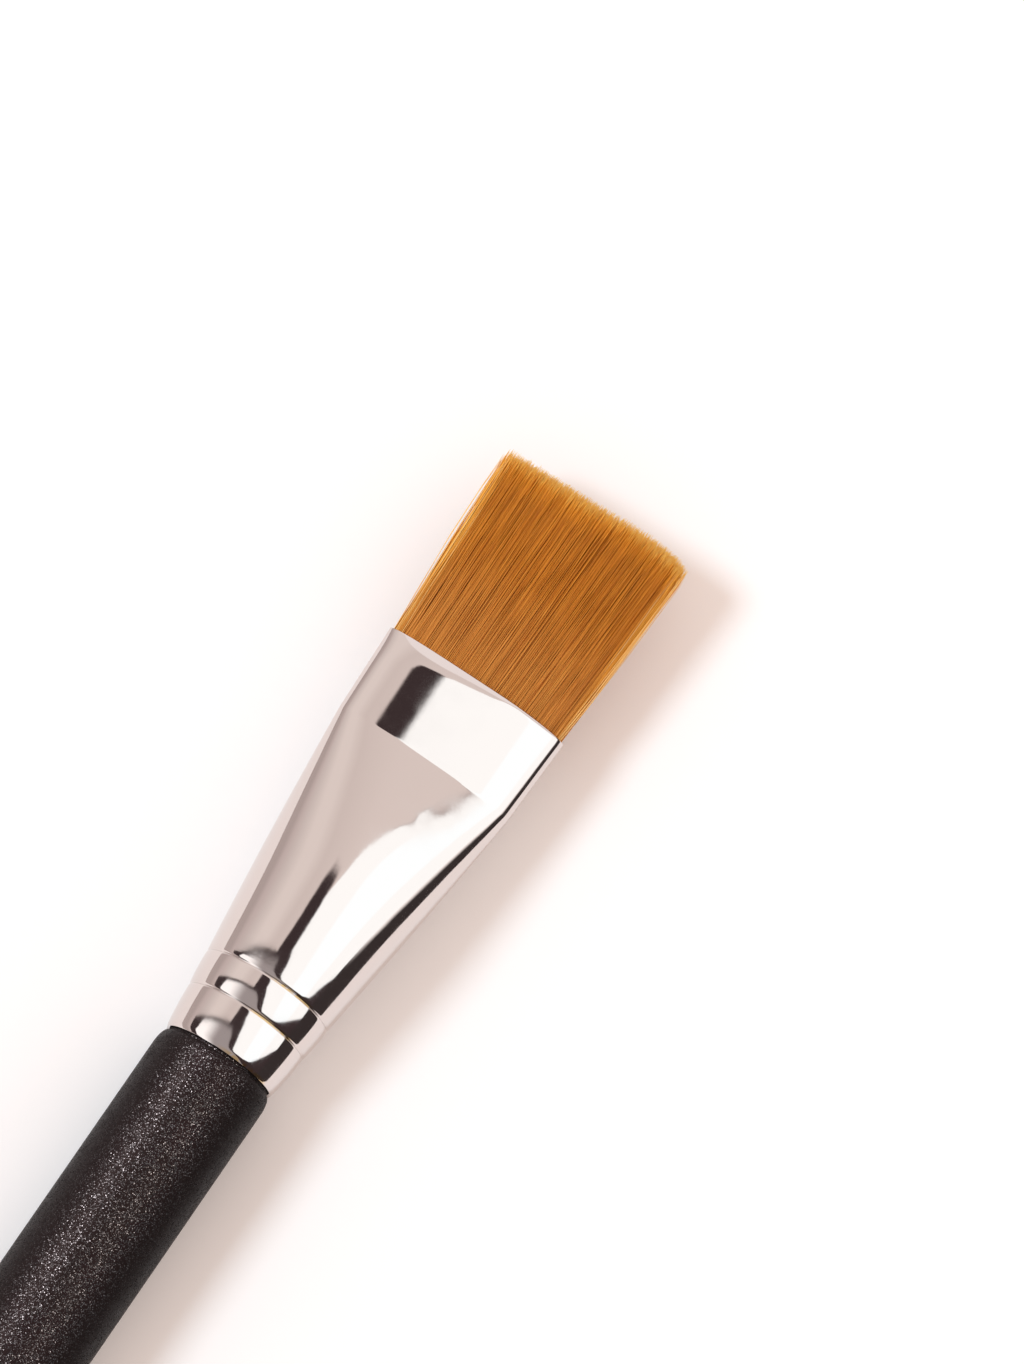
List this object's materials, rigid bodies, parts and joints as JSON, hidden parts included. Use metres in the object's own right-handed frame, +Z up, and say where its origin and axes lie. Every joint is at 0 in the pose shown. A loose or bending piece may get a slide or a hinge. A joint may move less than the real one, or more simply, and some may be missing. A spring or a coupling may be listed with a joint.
{
  "type": "flat brush",
  "caption": "Flat square-cut make-up brush with a slim lacquered wooden handle, a plated metal ferrule pressed flat at its mouth, and a wide tuft of straight synthetic filaments.",
  "frame": {"origin": "on the surface that the brush lies on, under the middle of its length", "axes": "+X along the brush from the handle to the filament tips, +Y across the flat of the tuft, +Z up out of the flat"},
  "size_m": [0.1843, 0.0202, 0.0143],
  "materials": {
    "lacquered_wood": "satin black lacquer with fine silver flecks",
    "plated_metal": "polished",
    "filament": "fine satin filaments, golden orange",
    "cured_resin": "gloss"
  },
  "bodies": {
    "root": {"handle": "lacquered_wood", "ferrule": "plated_metal", "tenon_adhesive": "cured_resin", "root_resin": "cured_resin", "filaments_bottom": "filament", "filaments_lower_core": "filament", "filaments_upper_core": "filament", "filaments_top": "filament"}
  },
  "joints": []
}
